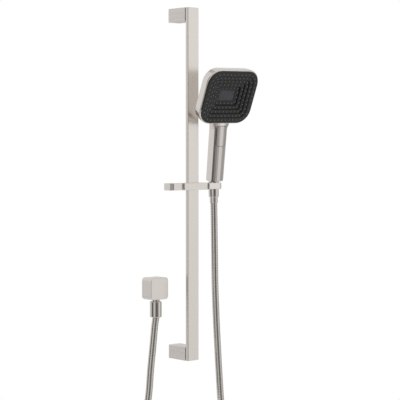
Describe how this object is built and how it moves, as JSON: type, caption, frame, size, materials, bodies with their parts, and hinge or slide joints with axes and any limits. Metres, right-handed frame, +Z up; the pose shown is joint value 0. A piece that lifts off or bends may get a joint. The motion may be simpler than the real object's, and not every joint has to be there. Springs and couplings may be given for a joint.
{
  "type": "hand shower on slide rail",
  "caption": "Square-headed hand shower resting in a sliding, tilting holder on a flat wall rail, with a metal hose looping to a square wall outlet.",
  "frame": {"origin": "centre of the upper bracket's back face, on the wall", "axes": "+X to the right along the wall, +Y into the wall, +Z up along the rail; the shower stands off the wall towards -Y"},
  "size_m": [0.2611, 0.1367, 1.159],
  "materials": {
    "brushed_nickel": "brushed warm nickel",
    "hose_metal": "interlocked metal strip, satin",
    "steel": "plain steel",
    "zinc": "bare zinc casting",
    "grey_plastic": "moulded",
    "face_black": "satin",
    "nozzle_silicone": "soft silicone",
    "centre_grey": "smooth",
    "dark_plastic": "moulded",
    "white_nylon": "moulded",
    "rubber": "moulded"
  },
  "bodies": {
    "wall": {"rail": "brushed_nickel", "upper_bracket": "brushed_nickel", "lower_bracket": "brushed_nickel", "upper_wall_block": "zinc", "lower_wall_block": "zinc", "upper_wall_screw": "steel", "lower_wall_screw": "steel", "upper_rail_screw": "steel", "lower_rail_screw": "steel", "upper_lock_screw": "steel", "lower_lock_screw": "steel", "outlet_body": "brushed_nickel", "outlet_spigot": "brushed_nickel", "check_valve": "dark_plastic", "outlet_ferrule": "brushed_nickel", "outlet_seal": "rubber", "hose_tube": "hose_metal"},
    "slider": {"slider_body": "brushed_nickel", "slider_plate": "brushed_nickel", "glide_liner_left": "white_nylon", "glide_liner_right": "white_nylon", "button_guide": "dark_plastic", "holder_pin": "steel"},
    "release_button": {"release_button_cap": "brushed_nickel", "release_button_stem": "grey_plastic", "release_button_spring": "steel"},
    "brake": {"brake_shoe": "rubber"},
    "holder": {"holder": "brushed_nickel", "holder_washer": "white_nylon"},
    "handset": {"handset_shell": "brushed_nickel", "face_plate": "face_black", "nozzle_mat": "nozzle_silicone", "centre_cover": "centre_grey", "face_screw": "steel", "waterway_tube": "dark_plastic", "diverter_body": "dark_plastic", "handset_inlet": "brushed_nickel", "handset_ferrule": "brushed_nickel", "handset_seal": "rubber"},
    "mode_button": {"mode_button": "brushed_nickel", "mode_button_stem": "dark_plastic", "mode_button_spring": "steel"},
    "handset_nut": {"handset_hose_nut": "brushed_nickel"},
    "outlet_nut": {"outlet_hose_nut": "brushed_nickel"}
  },
  "joints": [
    {"name": "slider_slide", "type": "slide", "parent": "wall", "child": "slider", "axis": [0, 0, 1], "range_m": [-0.3, 0.32], "deforming": ["hose_tube"]},
    {"name": "release_button_press", "type": "slide", "parent": "slider", "child": "release_button", "axis": [1, 0, 0], "range_m": [0, 0.0024], "stiffness_N_per_m": 900, "springref_m": -0.003, "deforming": ["release_button_spring"]},
    {"name": "brake_shoe_release", "type": "slide", "parent": "slider", "child": "brake", "axis": [0, 1, 0], "range_m": [0, 0.000384]},
    {"name": "holder_tilt", "type": "hinge", "parent": "slider", "child": "holder", "pos_m": [0.0345, -0.058, -0.34905], "axis": [1, 0, 0], "range_deg": [-2, 25]},
    {"name": "handset_lift", "type": "slide", "parent": "holder", "child": "handset", "axis": [-0.0174, 0.0005, 0.9998], "range_m": [0, 0.06]},
    {"name": "mode_button_press", "type": "slide", "parent": "handset", "child": "mode_button", "axis": [0.0272, 0.9913, 0.1288], "range_m": [0, 0.0018], "stiffness_N_per_m": 900, "springref_m": -0.003, "deforming": ["mode_button_spring"]},
    {"name": "handset_nut_turn", "type": "hinge", "parent": "handset", "child": "handset_nut", "pos_m": [0.0575, -0.058, -0.34905], "axis": [-0.0174, 0.0005, 0.9998], "continuous": true},
    {"name": "outlet_nut_turn", "type": "hinge", "parent": "wall", "child": "outlet_nut", "pos_m": [-0.0635, -0.017, -0.60605], "axis": [0, 0, 1], "continuous": true}
  ],
  "couplings": [
    {"joint": "brake_shoe_release", "follows": "release_button_press", "ratio": 0.16}
  ]
}
